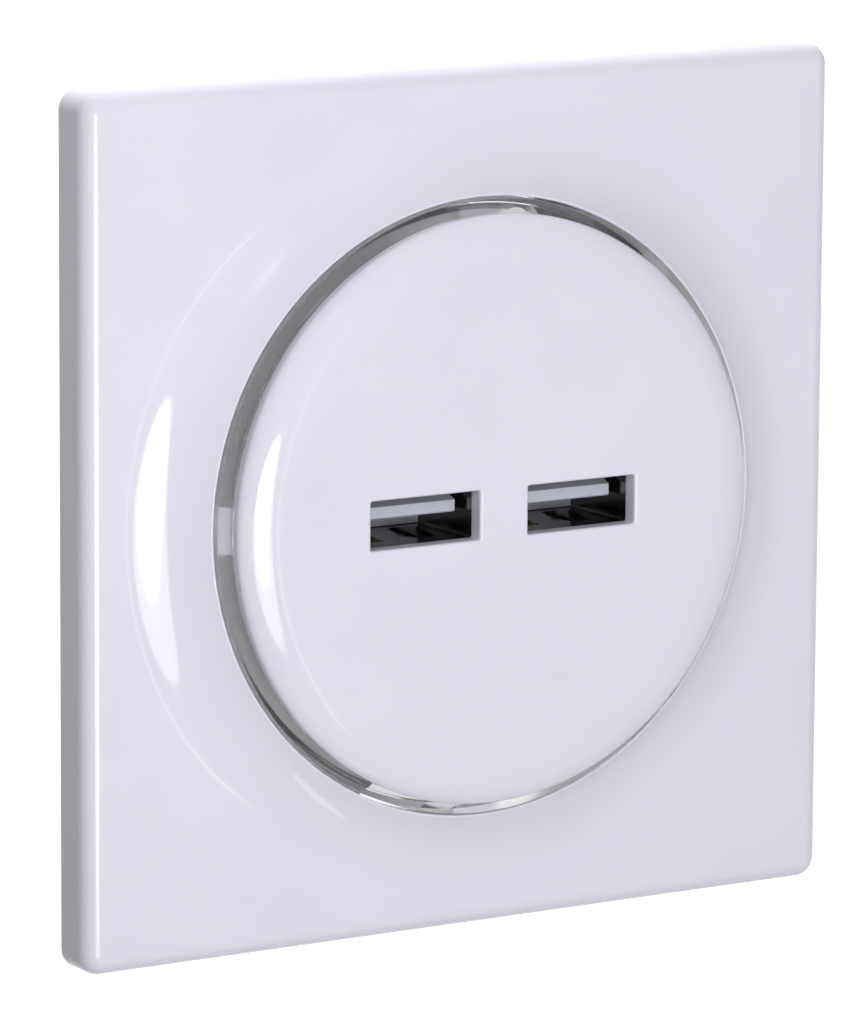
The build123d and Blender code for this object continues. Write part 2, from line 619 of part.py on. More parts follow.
# Receptacle shells, tongues and contacts
for side, sign in SIDES:
    port_x = sign * PORT_PITCH / 2
    board_back = SHELL_BACK - BOARD_T

    with BuildPart() as usb_shell:
        with BuildSketch(facing(SHELL_BACK)):
            with Locations((port_x, 0)):
                RectangleRounded(SHELL_OUT_W, SHELL_OUT_H, SHELL_CORNER)
                RectangleRounded(SHELL_W, SHELL_H, SHELL_CORNER - SHELL_T, mode=Mode.SUBTRACT)
        extrude(amount=SHELL_FRONT - SHELL_BACK)
        with BuildSketch(facing(SHELL_BACK)):
            with Locations((port_x, 0)):
                with GridLocations(SHELL_W + SHELL_T, 0, 2, 1):
                    Rectangle(SHELL_T, SHELL_LEG_W)
        extrude(amount=-(BOARD_T + PIN_TAIL))
        # Spring fingers, rooted near the mouth and bent into the shell
        finger_root = SHELL_FRONT - FINGER_ROOT
        finger_end = finger_root - FINGER_L
        with BuildSketch(Plane.XY.offset(-SHELL_OUT_H / 2)):
            with Locations((port_x, FINGER_SLIT / 2 - (finger_root + finger_end) / 2)):
                with GridLocations(2 * FINGER_X, 0, 2, 1):
                    Rectangle(FINGER_W + 2 * FINGER_SLIT, FINGER_L + FINGER_SLIT)
        extrude(amount=SHELL_OUT_H, mode=Mode.SUBTRACT)
        for x in (-FINGER_X, FINGER_X):
            for up in (-1, 1):
                inner = up * SHELL_H / 2
                outer = up * SHELL_OUT_H / 2
                bend = -up * FINGER_RISE
                rest = -up * FINGER_END_RISE
                with BuildSketch(upright(port_x + x)):
                    with BuildLine():
                        Polyline(
                            (finger_root, inner),
                            (finger_root - FINGER_BEND, inner + bend),
                            (finger_end, inner + rest),
                            (finger_end, outer + rest),
                            (finger_root - FINGER_BEND, outer + bend),
                            (finger_root, outer),
                            close=True,
                        )
                    make_face()
                extrude(amount=FINGER_W / 2, both=True)
    save(usb_shell.part, f"usb_shell_{side}")

    with BuildPart() as usb_tongue:
        with BuildSketch(facing(SHELL_BACK)):
            with Locations((port_x, 0)):
                Rectangle(SHELL_W - FIT, SHELL_H - FIT)
        extrude(amount=TONGUE_BASE)
        # The tip of the tongue has a lead-in ramp above and a small bevel below
        tongue_top = TONGUE_LIFT + TONGUE_T
        with BuildSketch(upright(port_x)):
            with BuildLine():
                Polyline(
                    (SHELL_BACK, TONGUE_LIFT),
                    (TONGUE_FRONT - TONGUE_BEVEL, TONGUE_LIFT),
                    (TONGUE_FRONT, TONGUE_LIFT + TONGUE_BEVEL),
                    (TONGUE_FRONT, tongue_top - TONGUE_RAMP_H),
                    (TONGUE_FRONT - TONGUE_RAMP_L, tongue_top),
                    (SHELL_BACK, tongue_top),
                    close=True,
                )
            make_face()
        extrude(amount=TONGUE_W / 2, both=True)
        # Grooves on the underside for the contact strips
        groove_depth = CONTACT_T - CONTACT_PROUD + FIT / 2
        with BuildSketch(facing(SHELL_BACK)):
            with Locations((port_x, TONGUE_LIFT + groove_depth)):
                with Locations(*[(x, 0) for x in CONTACT_X]):
                    Rectangle(CONTACT_W + FIT, CONTACT_T + FIT, align=(Align.CENTER, Align.MAX))
        extrude(amount=TONGUE_FRONT - CONTACT_RECESS + FIT - SHELL_BACK, mode=Mode.SUBTRACT)
    save(usb_tongue.part, f"usb_tongue_{side}")

    with BuildPart() as usb_contacts:
        strip_low = TONGUE_LIFT - CONTACT_PROUD
        strip_high = strip_low + CONTACT_T
        strip_tip = TONGUE_FRONT - CONTACT_RECESS
        bump_from = strip_tip - 2 * CONTACT_BEND_L
        bump_top = strip_tip - CONTACT_BEND_L
        for x in CONTACT_X:
            with BuildSketch(upright(port_x + x)):
                with BuildLine():
                    Polyline(
                        (board_back - PIN_TAIL, strip_low),
                        (bump_from, strip_low),
                        (bump_top, strip_low - CONTACT_BUMP),
                        (strip_tip, strip_low),
                        (strip_tip, strip_high),
                        (bump_top, strip_high - CONTACT_BUMP),
                        (bump_from, strip_high),
                        (board_back - PIN_TAIL, strip_high),
                        close=True,
                    )
                make_face()
            extrude(amount=CONTACT_W / 2, both=True)
    save(usb_contacts.part, f"usb_contacts_{side}")

# Power supply board
with BuildPart() as power_board:
    with BuildSketch(facing(POWER_BACK)):
        with Locations((0, POWER_Z)):
            Rectangle(BOARD_W, POWER_H)
        with Locations(*[(x, LINK_Z) for x in LINK_X]):
            Rectangle(LINK_PIN + 2 * HOLE_GAP, LINK_PIN + 2 * HOLE_GAP, mode=Mode.SUBTRACT)
        with Locations((-TERMINAL_X, TAIL_Z), (TERMINAL_X, TAIL_Z)):
            Rectangle(TAIL_W + 2 * HOLE_GAP, BAR_T + 2 * HOLE_GAP, mode=Mode.SUBTRACT)
    extrude(amount=BOARD_T)
save(power_board.part, "power_board")

# Pin strip between the boards
with BuildPart() as link_header:
    with BuildSketch(facing(POWER_FRONT)):
        with Locations((0, LINK_Z)):
            Rectangle(LINK_BASE_W, LINK_BASE_H)
            with Locations(*[(x, 0) for x in LINK_X]):
                Rectangle(LINK_PIN + HOLE_GAP, LINK_PIN + HOLE_GAP, mode=Mode.SUBTRACT)
    extrude(amount=LINK_BASE_T)
save(link_header.part, "link_header")

with BuildPart() as link_pins:
    with BuildSketch(facing(POWER_BACK - PIN_TAIL)):
        with Locations(*[(x, LINK_Z) for x in LINK_X]):
            Rectangle(LINK_PIN, LINK_PIN)
    extrude(amount=SHELL_BACK + LINK_TIP - POWER_BACK + PIN_TAIL)
save(link_pins.part, "link_pins")

# Transformer: two E halves round a bobbin that stands on two rails
core_bottom = POWER_FRONT + CORE_LIFT
core_top = core_bottom + CORE_H
window_bottom = core_bottom + CORE_YOKE
window_top = core_top - CORE_YOKE
window_out = CORE_W / 2 - CORE_SIDE
tube_half = CORE_LIMB / 2 + BOBBIN_WALL + FIT
with BuildPart() as transformer_core:
    with BuildSketch(facing(core_bottom)):
        with Locations((CORE_X, CORE_Z)):
            Rectangle(CORE_W, CORE_T)
    extrude(amount=CORE_H)
    with BuildSketch(facing(window_bottom)):
        with Locations((CORE_X, CORE_Z)):
            with GridLocations(window_out + CORE_LIMB / 2, 0, 2, 1):
                Rectangle(window_out - CORE_LIMB / 2, CORE_T)
    extrude(amount=window_top - window_bottom, mode=Mode.SUBTRACT)
save(transformer_core.part, "transformer_core")

with BuildPart() as transformer_bobbin:
    with BuildSketch(facing(window_bottom + FIT)):
        with Locations((CORE_X, CORE_Z)):
            Rectangle(2 * tube_half, CORE_T + 2 * (BOBBIN_WALL + FIT))
    extrude(amount=window_top - window_bottom - 2 * FIT)
    for flange in (window_bottom + FIT, window_top - FIT - BOBBIN_FLANGE_T):
        with BuildSketch(facing(flange)):
            with Locations((CORE_X, CORE_Z)):
                Rectangle(2 * (window_out - FIT), BOBBIN_H)
        extrude(amount=BOBBIN_FLANGE_T)
    with BuildSketch(facing(POWER_FRONT)):
        with Locations((CORE_X, CORE_Z)):
            with GridLocations(0, BOBBIN_H - RAIL_T, 1, 2):
                Rectangle(CORE_W, RAIL_T)
    extrude(amount=window_bottom + FIT + BOBBIN_FLANGE_T - POWER_FRONT)
    with BuildSketch(facing(window_bottom)):
        with Locations((CORE_X, CORE_Z)):
            Rectangle(CORE_LIMB + 2 * FIT, CORE_T + 2 * FIT)
    extrude(amount=window_top - window_bottom, mode=Mode.SUBTRACT)
save(transformer_bobbin.part, "transformer_bobbin")

with BuildPart() as transformer_winding:
    winding_bottom = window_bottom + FIT + BOBBIN_FLANGE_T
    winding_top = window_top - FIT - BOBBIN_FLANGE_T
    with BuildSketch(facing(winding_bottom)):
        with Locations((CORE_X, CORE_Z)):
            RectangleRounded(
                2 * (window_out - FIT - WINDING_INSET), BOBBIN_H - 2 * WINDING_INSET, WINDING_CORNER
            )
            Rectangle(2 * tube_half, CORE_T + 2 * (BOBBIN_WALL + FIT), mode=Mode.SUBTRACT)
    extrude(amount=winding_top - winding_bottom)
save(transformer_winding.part, "transformer_winding")

# Capacitors on the input and on the output
with BuildPart() as input_capacitors:
    with BuildSketch(facing(POWER_FRONT)):
        with Locations((INPUT_CAP_X, INPUT_CAP_Z), (INPUT_CAP_X, INPUT_CAP_Z - INPUT_CAP_PITCH)):
            Circle(INPUT_CAP_R)
    extrude(amount=INPUT_CAP_L)
    chamfer(input_capacitors.edges().group_by(Axis.Y)[0], CAP_BEVEL)
save(input_capacitors.part, "input_capacitors")

with BuildPart() as output_capacitors:
    with BuildSketch(facing(POWER_FRONT)):
        with Locations((OUTPUT_CAP_X, OUTPUT_CAP_Z), (OUTPUT_CAP_X - OUTPUT_CAP_PITCH, OUTPUT_CAP_Z)):
            Circle(OUTPUT_CAP_R)
    extrude(amount=OUTPUT_CAP_L)
    chamfer(output_capacitors.edges().group_by(Axis.Y)[0], CAP_BEVEL)
save(output_capacitors.part, "output_capacitors")

# Smaller parts on the power board
with BuildPart() as bridge_rectifier:
    with BuildSketch(facing(POWER_FRONT)):
        with Locations((BRIDGE_X, BRIDGE_Z)):
            Rectangle(BRIDGE_SIZE[0], BRIDGE_SIZE[1])
    extrude(amount=BRIDGE_SIZE[2])
save(bridge_rectifier.part, "bridge_rectifier")

with BuildPart() as fuse_resistor:
    with BuildSketch(upright(FUSE_X)):
        with Locations((POWER_FRONT + FUSE_R, FUSE_Z)):
            Circle(FUSE_R)
    extrude(amount=FUSE_L / 2, both=True)
save(fuse_resistor.part, "fuse_resistor")

with BuildPart() as filter_choke:
    with BuildSketch(facing(POWER_FRONT)):
        with Locations((MIDDLE_X, CHOKE_Z)):
            Circle(CHOKE_R)
    extrude(amount=CHOKE_L)
    with BuildSketch(facing(POWER_FRONT + CHOKE_RIM)):
        with Locations((MIDDLE_X, CHOKE_Z)):
            Circle(CHOKE_R)
            Circle(CHOKE_WAIST_R, mode=Mode.SUBTRACT)
    extrude(amount=CHOKE_L - 2 * CHOKE_RIM, mode=Mode.SUBTRACT)
save(filter_choke.part, "filter_choke")

with BuildPart() as suppression_capacitor:
    disc_height = POWER_FRONT + DISC_LIFT + DISC_R
    with BuildSketch(upright(MIDDLE_X)):
        with Locations((disc_height, DISC_Z)):
            Circle(DISC_R)
    extrude(amount=DISC_T / 2, both=True)
    with BuildSketch(facing(POWER_FRONT)):
        with Locations((MIDDLE_X, DISC_Z)):
            with GridLocations(0, 2 * DISC_LEAD_X, 1, 2):
                Circle(DISC_LEAD_R)
    extrude(amount=DISC_R)
save(suppression_capacitor.part, "suppression_capacitor")

with BuildPart() as control_chip:
    with BuildSketch(facing(POWER_BACK)):
        with Locations((MIDDLE_X, POWER_Z)):
            Rectangle(CHIP_SIZE[0], CHIP_SIZE[1])
    extrude(amount=-CHIP_SIZE[2])
save(control_chip.part, "control_chip")

# Terminal block with two chambers, wire entries below and screw holes behind
with BuildPart() as terminal_block:
    with BuildSketch(facing(-HOUSING_DEPTH)):
        with Locations((0, BLOCK_BOTTOM)):
            Rectangle(BLOCK_W, BLOCK_H, align=(Align.CENTER, Align.MIN))
    extrude(amount=HOUSING_DEPTH + BLOCK_FRONT)
    bottom_sides = terminal_block.faces().sort_by(Axis.Z)[0].edges().filter_by(Axis.Y)
    chamfer(bottom_sides, BLOCK_BEVEL)
    with BuildSketch(facing(CAVITY_BACK)):
        with Locations((-TERMINAL_X, CAVITY_Z), (TERMINAL_X, CAVITY_Z)):
            Rectangle(CAGE_W + 2 * MOVE_GAP, CAVITY_TOP - CAVITY_BOTTOM)
    extrude(amount=CAVITY_FRONT - CAVITY_BACK, mode=Mode.SUBTRACT)
    with BuildSketch(facing(CAVITY_BACK)):
        with Locations((-TERMINAL_X, CAVITY_Z), (TERMINAL_X, CAVITY_Z)):
            Circle(CLAMP_HEAD_R + MOVE_GAP)
    extrude(amount=HEAD_TOP - HEAD_GAP - CAVITY_BACK, mode=Mode.SUBTRACT)
    with BuildSketch(facing(-HOUSING_DEPTH)):
        with Locations((-TERMINAL_X, CAVITY_Z), (TERMINAL_X, CAVITY_Z)):
            Circle(ACCESS_R)
    extrude(amount=ACCESS_WALL, mode=Mode.SUBTRACT)
    with BuildSketch(Plane.XY.offset(BLOCK_BOTTOM)):
        with Locations((-TERMINAL_X, -BAR_FRONT - WIRE_GAP / 2), (TERMINAL_X, -BAR_FRONT - WIRE_GAP / 2)):
            Circle(ENTRY_R)
    extrude(amount=ENTRY_L, mode=Mode.SUBTRACT)
    with BuildSketch(facing(BAR_BACK - FIT)):
        with Locations((-TERMINAL_X, CAVITY_TOP), (TERMINAL_X, CAVITY_TOP)):
            Rectangle(BAR_W + 2 * FIT, BLOCK_H, align=(Align.CENTER, Align.MIN))
    extrude(amount=BAR_T + 2 * FIT, mode=Mode.SUBTRACT)
save(terminal_block.part, "terminal_block")

# One bar, cage and screw for each pole
for pole, sign in POLES:
    pole_x = sign * TERMINAL_X

    with BuildPart() as terminal_plate:
        bar_bottom = CAVITY_BOTTOM + MOVE_GAP
        bar_top = TAIL_Z + BAR_T / 2
        with BuildSketch(facing(BAR_BACK)):
            with Locations((pole_x, (bar_bottom + bar_top) / 2)):
                Rectangle(BAR_W, bar_top - bar_bottom)
        extrude(amount=BAR_T)
        with BuildSketch(facing(BAR_BACK)):
            with Locations((pole_x, TAIL_Z)):
                Rectangle(TAIL_W, BAR_T)
        extrude(amount=POWER_BACK - PIN_TAIL - BAR_BACK)
    save(terminal_plate.part, f"terminal_plate_{pole}")

    with BuildPart() as terminal_cage:
        with BuildSketch(facing(CAGE_BACK)):
            with Locations((pole_x, CAVITY_Z)):
                Rectangle(CAGE_W, CAGE_L)
        extrude(amount=CAGE_FRONT - CAGE_BACK)
        with BuildSketch(facing(CAGE_NUT)):
            with Locations((pole_x, CAVITY_Z)):
                Rectangle(CAGE_IN_W, CAGE_L)
        extrude(amount=CAGE_FRONT - CAGE_WALL - CAGE_NUT, mode=Mode.SUBTRACT)
        with BuildSketch(facing(CAGE_BACK)):
            with Locations((pole_x, CAVITY_Z)):
                Circle(CLAMP_R + CLAMP_THREAD_GAP)
        extrude(amount=CAGE_NUT_T, mode=Mode.SUBTRACT)
    save(terminal_cage.part, f"terminal_cage_{pole}")

    with BuildPart() as terminal_screw:
        with BuildSketch(facing(HEAD_TOP)):
            with Locations((pole_x, CAVITY_Z)):
                Circle(CLAMP_HEAD_R)
        extrude(amount=CLAMP_HEAD_T)
        with BuildSketch(facing(HEAD_SEAT)):
            with Locations((pole_x, CAVITY_Z)):
                Circle(CLAMP_R)
        extrude(amount=CLAMP_SHANK_L)
        with BuildSketch(facing(HEAD_TOP)):
            with Locations((pole_x, CAVITY_Z)):
                Rectangle(2 * CLAMP_HEAD_R, CLAMP_SLOT_W)
        extrude(amount=CLAMP_SLOT_T, mode=Mode.SUBTRACT)
    save(terminal_screw.part, f"terminal_screw_{pole}")
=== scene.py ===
import json
from math import asin, ceil, cos, hypot, pi, radians, sin, sqrt

import bmesh
import bpy
from mathutils import Matrix, Vector


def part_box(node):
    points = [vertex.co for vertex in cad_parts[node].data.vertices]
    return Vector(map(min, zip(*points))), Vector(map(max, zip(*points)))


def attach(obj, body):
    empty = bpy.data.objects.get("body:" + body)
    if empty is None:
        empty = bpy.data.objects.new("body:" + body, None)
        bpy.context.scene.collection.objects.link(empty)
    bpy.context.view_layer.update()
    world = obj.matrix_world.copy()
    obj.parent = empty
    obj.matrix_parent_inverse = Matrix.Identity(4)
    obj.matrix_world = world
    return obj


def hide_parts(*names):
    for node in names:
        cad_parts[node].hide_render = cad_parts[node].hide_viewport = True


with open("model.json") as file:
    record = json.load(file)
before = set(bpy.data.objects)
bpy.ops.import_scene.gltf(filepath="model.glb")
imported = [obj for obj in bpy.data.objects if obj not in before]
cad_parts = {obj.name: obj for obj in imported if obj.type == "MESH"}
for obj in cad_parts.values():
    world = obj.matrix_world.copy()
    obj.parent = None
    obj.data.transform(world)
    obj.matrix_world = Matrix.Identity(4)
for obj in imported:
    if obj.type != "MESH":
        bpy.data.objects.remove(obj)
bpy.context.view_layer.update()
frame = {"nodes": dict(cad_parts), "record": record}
nodes = frame["nodes"]

# Lengths are in millimetres, and a height is a distance in front of the wall plane
MM = 0.001


def extent(node, axis):
    """Length of a node along one axis."""
    low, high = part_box(node)
    return (high[axis] - low[axis]) / MM


def front(node):
    """Height of a node's foremost point."""
    return -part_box(node)[0].y / MM


# Cover frame
FRAME_HALF = extent("cover_frame", 0) / 2
FRAME_EDGE = 4.9
FRAME_WALL = 1.8
FRAME_ROUND = 1.75
FRAME_CORNER = 2.1
FLARE_R = 39.2
FLARE_ARC_R = 12.813
LIP_R = 30.4
LIP_ROUND = 0.15
LUG_TIP = 28.85
LUG_ROOT = 33.0
LUG_W = 4.8
LUG_T = 2.0
RIB_TIP = 35.75
RIB_ROOT = 41.6
RIB_T = 1.2
RIB_H = 4.0
RIB_OFFSET = 20.0

# Centre cover
COVER_R = extent("centre_cover", 0) / 2
COVER_HEIGHT = front("centre_cover")
COVER_WALL = 1.65
COVER_INSIDE = COVER_HEIGHT - COVER_WALL
COVER_ROUND_W = 5.0
COVER_ROUND_H = 1.8
RIM_HEIGHT = COVER_HEIGHT - COVER_ROUND_H
RIM_T = 0.6
RIM_SEAT = RIM_HEIGHT - RIM_T
RIM_OVERHANG = 0.45
SKIRT_R = COVER_R - RIM_OVERHANG
SKIRT_WALL = 1.4
SKIRT_END = 4.2
SKIRT_BEVEL = 1.6
LEG_SEAT_X = extent("rear_housing", 0) / 2
LEG_SEAT_Z = extent("rear_housing", 2) / 2
LEG_GAP = 0.5
LEG_T = 1.3
LEG_W = 7.0
LEG_BARB = 0.9
LEG_CATCH = 1.1
LEG_TIP = 1.7
PORT_PITCH = 17.8
PORT_W = 12.3
PORT_H = 4.8
PORT_CORNER = 0.2
PORT_ROUND = 0.3

# Clear ring
RING_FIT = 0.2
RING_IN_R = SKIRT_R + RING_FIT
RING_OUT_R = extent("clear_ring", 0) / 2
RING_BOTTOM = 5.7
RING_LOW_EDGE = 8.6
RING_BEVEL = 0.05
RING_FROST_R = 29.05
# Least y of a face's normal for it to count as turned away from the front, and as the flat back
RING_AWAY = -0.1
RING_BACK = 0.9

# Air left between faces that would otherwise lie in one plane
FILM = 0.02

# How finely the round forms are divided
SIDE_STEP = radians(0.75)
CORNER_STEP = radians(0.09)
CORNER_SPAN = radians(1.9)
TURN_STEPS = 360
EDGE_STEPS = 14
FLARE_STEPS = 44
LIP_STEPS = 8
UNDER_STEPS = 16
RIM_STEPS = 28
PORT_STEPS = 8
SUPPORT = 0.25
SHARP_ANGLE = radians(32)


def spread(start, end, steps):
    """Evenly spaced values from start to end, both included."""
    return [start + (end - start) * i / steps for i in range(steps + 1)]


def frame_angles():
    """Directions round the frame, closer together at its four corners."""
    angles = []
    for quarter in range(4):
        middle = pi / 4 + quarter * pi / 2
        first, last = middle - CORNER_SPAN, middle + CORNER_SPAN
        side = pi / 2 - 2 * CORNER_SPAN
        angles += spread(first, last, ceil(2 * CORNER_SPAN / CORNER_STEP))
        angles += spread(last, last + side, ceil(side / SIDE_STEP))[1:-1]
    return angles


FRAME_ANGLES = frame_angles()
TURN_ANGLES = [2 * pi * i / TURN_STEPS for i in range(TURN_STEPS)]


def circle_loop(radius, height, angles):
    """Points of a circle about the centre axis."""
    return [(radius * cos(a), height, radius * sin(a)) for a in angles]


def square_loop(half, corner, height):
    """Points of a rounded square where the frame's directions meet it."""
    points = []
    for a in FRAME_ANGLES:
        c, s = abs(cos(a)), abs(sin(a))
        reach = half / max(c, s)
        core = half - corner
        if min(c, s) * reach > core:
            along = (c + s) * core
            reach = along + sqrt(along**2 - 2 * core**2 + corner**2)
        points.append((reach * cos(a), height, reach * sin(a)))
    return points


def port_loop(centre, grow, height):
    """Points of a port's rounded rectangle, grown on all sides."""
    corner = PORT_CORNER + grow
    core_x, core_z = PORT_W / 2 - PORT_CORNER, PORT_H / 2 - PORT_CORNER
    points = []
    for quarter, (sx, sz) in enumerate(((1, 1), (-1, 1), (-1, -1), (1, -1))):
        for a in spread(quarter * pi / 2, (quarter + 1) * pi / 2, PORT_STEPS):
            points.append((centre + sx * core_x + corner * cos(a), height, sz * core_z + corner * sin(a)))
    return points


def place(point):
    """Scene position of a point given as x, height and z."""
    x, height, z = point
    return Vector((x, -height, z)) * MM


def add_loop(bm, points):
    return [bm.verts.new(place(p)) for p in points]


def join_loops(bm, first, second):
    """Band of faces between two closed loops of the same count."""
    count = len(first)
    for i in range(count):
        j = (i + 1) % count
        bm.faces.new((first[i], first[j], second[j], second[i]))


def loft(bm, loops, closed=False):
    """Skin over a row of closed loops, and the vertices of each."""
    made = [add_loop(bm, points) for points in loops]
    pairs = list(zip(made, made[1:]))
    if closed:
        pairs.append((made[-1], made[0]))
    for first, second in pairs:
        join_loops(bm, first, second)
    return made


def fill_between(bm, loops):
    """Flat face bounded by an outer loop and the holes in it."""
    edges = []
    for loop in loops:
        for i, vert in enumerate(loop):
            edges.append(bm.edges.get((vert, loop[(i + 1) % len(loop)])))
    bmesh.ops.triangle_fill(bm, use_beauty=True, use_dissolve=False, edges=edges)


def prism(bm, outline, width, turn, offset=0.0):
    """Outline of radius and height, as wide as given and turned about the centre axis."""
    c, s = cos(turn), sin(turn)
    ends = []
    for side in (offset - width / 2, offset + width / 2):
        ends.append(add_loop(bm, [(r * c - side * s, h, r * s + side * c) for r, h in outline]))
    join_loops(bm, *ends)
    bm.faces.new(ends[0])
    bm.faces.new(ends[1])


def finish_piece(bm, name, node, material, body="socket"):
    """Turn the mesh into a piece that stands for a node."""
    bmesh.ops.recalc_face_normals(bm, faces=bm.faces)
    mesh = bpy.data.meshes.new(name)
    bm.to_mesh(mesh)
    bm.free()
    mesh.polygons.foreach_set("use_smooth", [True] * len(mesh.polygons))
    mesh.set_sharp_from_angle(angle=SHARP_ANGLE)
    piece = bpy.data.objects.new(name, mesh)
    bpy.context.scene.collection.objects.link(piece)
    mesh.materials.append(material)
    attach(piece, body)
    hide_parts(node)
    return piece


# Procedural materials

# Values of a pattern between which colour and roughness run
PATTERN_LOW = 0.3
PATTERN_HIGH = 0.7
MOULDING_IOR = 1.5
CLEAR_IOR = 1.49
FLOW_SCALE = 60
CLEAR_FLOW_SCALE = 90
SPANGLE_SCALE = 700
ZINC_GRAIN = 2500
ZINC_DEPTH = 0.01


def new_material(name, **values):
    """Material with a Principled shader whose sockets have the given values."""
    material = bpy.data.materials.new(name)
    material.use_nodes = True
    shader = material.node_tree.nodes["Principled BSDF"]
    for key, value in values.items():
        shader.inputs[key.replace("_", " ")].default_value = value
    return material, material.node_tree, shader


def noise(tree, scale, stretch=(1, 1, 1), detail=3.0):
    """Noise over the piece's own coordinates, drawn out along the axes given."""
    coords = tree.nodes.new("ShaderNodeTexCoord")
    mapping = tree.nodes.new("ShaderNodeMapping")
    mapping.inputs["Scale"].default_value = stretch
    texture = tree.nodes.new("ShaderNodeTexNoise")
    texture.inputs["Scale"].default_value = scale
    texture.inputs["Detail"].default_value = detail
    tree.links.new(coords.outputs["Object"], mapping.inputs["Vector"])
    tree.links.new(mapping.outputs["Vector"], texture.inputs["Vector"])
    return texture.outputs["Fac"]


def cells(tree, scale):
    """Cell pattern over the piece's own coordinates."""
    coords = tree.nodes.new("ShaderNodeTexCoord")
    texture = tree.nodes.new("ShaderNodeTexVoronoi")
    texture.inputs["Scale"].default_value = scale
    tree.links.new(coords.outputs["Object"], texture.inputs["Vector"])
    return texture.outputs["Color"]


def tint(tree, shader, source, dark, light):
    """Base colour that runs from dark to light with the source."""
    ramp = tree.nodes.new("ShaderNodeValToRGB")
    ramp.color_ramp.elements[0].position = PATTERN_LOW
    ramp.color_ramp.elements[0].color = (*dark, 1)
    ramp.color_ramp.elements[1].position = PATTERN_HIGH
    ramp.color_ramp.elements[1].color = (*light, 1)
    tree.links.new(source, ramp.inputs["Fac"])
    tree.links.new(ramp.outputs["Color"], shader.inputs["Base Color"])


def roughen(tree, shader, source, low, high):
    """Roughness that runs from low to high with the source."""
    spread_node = tree.nodes.new("ShaderNodeMapRange")
    spread_node.inputs["From Min"].default_value = PATTERN_LOW
    spread_node.inputs["From Max"].default_value = PATTERN_HIGH
    spread_node.inputs["To Min"].default_value = low
    spread_node.inputs["To Max"].default_value = high
    tree.links.new(source, spread_node.inputs["Value"])
    tree.links.new(spread_node.outputs["Result"], shader.inputs["Roughness"])


def emboss(tree, shader, source, depth):
    """Fine relief of the given depth in millimetres."""
    bump = tree.nodes.new("ShaderNodeBump")
    bump.inputs["Strength"].default_value = 1.0
    bump.inputs["Distance"].default_value = depth * MM
    tree.links.new(source, bump.inputs["Height"])
    tree.links.new(bump.outputs["Normal"], shader.inputs["Normal"])


def moulding(name, dark, light, roughness, grain, depth):
    """Moulded plastic with a faint flow in its colour and a fine grain."""
    material, tree, shader = new_material(name, IOR=MOULDING_IOR)
    tint(tree, shader, noise(tree, FLOW_SCALE, detail=2.0), dark, light)
    grain_source = noise(tree, grain)
    roughen(tree, shader, grain_source, *roughness)
    emboss(tree, shader, grain_source, depth)
    return material


def metal(name, dark, light, roughness, scale, stretch, depth):
    """Metal with the marks of rolling or turning drawn out along its axes."""
    material, tree, shader = new_material(name, Metallic=1.0)
    marks = noise(tree, scale, stretch)
    tint(tree, shader, marks, dark, light)
    roughen(tree, shader, marks, *roughness)
    emboss(tree, shader, marks, depth)
    return material


def galvanised(name):
    """Zinc coat with its spangle."""
    material, tree, shader = new_material(name, Metallic=1.0)
    spangle = cells(tree, SPANGLE_SCALE)
    tint(tree, shader, spangle, (0.47, 0.49, 0.51), (0.55, 0.57, 0.59))
    roughen(tree, shader, spangle, 0.32, 0.42)
    emboss(tree, shader, noise(tree, ZINC_GRAIN), ZINC_DEPTH)
    return material


def clear_moulding(name, dark, light, roughness, clarity=1.0):
    """Clear moulding, polished or frosted."""
    material, tree, shader = new_material(name, IOR=CLEAR_IOR, Transmission_Weight=clarity)
    flow = noise(tree, CLEAR_FLOW_SCALE, detail=1.0)
    tint(tree, shader, flow, dark, light)
    roughen(tree, shader, flow, *roughness)
    return material


# The grey tint of the clear plastic is partly its own tone and partly painted shade, standing in for the
# shadow the ring does not cast on the parts beneath it
CLEAR_DARK, CLEAR_LIGHT = (0.90, 0.90, 0.91), (0.93, 0.93, 0.94)
# Dark grey tint for the polished strip on the ring's back beside the cover: painted shade for the dark
# line there
PAINTED_SHADE_DARK, PAINTED_SHADE_LIGHT = (0.34, 0.34, 0.35), (0.38, 0.38, 0.39)
POLISHED = (0.01, 0.04)
FROST = (0.38, 0.5)
FROST_CLARITY = 0.8

WHITE = moulding("glossy_white", (0.757, 0.742, 0.838), (0.787, 0.772, 0.868), (0.05, 0.08), 2200, 0.0004)
CLEAR = clear_moulding("clear_plastic", CLEAR_DARK, CLEAR_LIGHT, POLISHED)
PAINTED_SHADE = clear_moulding("painted_shade_plastic", PAINTED_SHADE_DARK, PAINTED_SHADE_LIGHT, POLISHED)
FROSTED = clear_moulding("frosted_plastic", CLEAR_DARK, CLEAR_LIGHT, FROST, FROST_CLARITY)

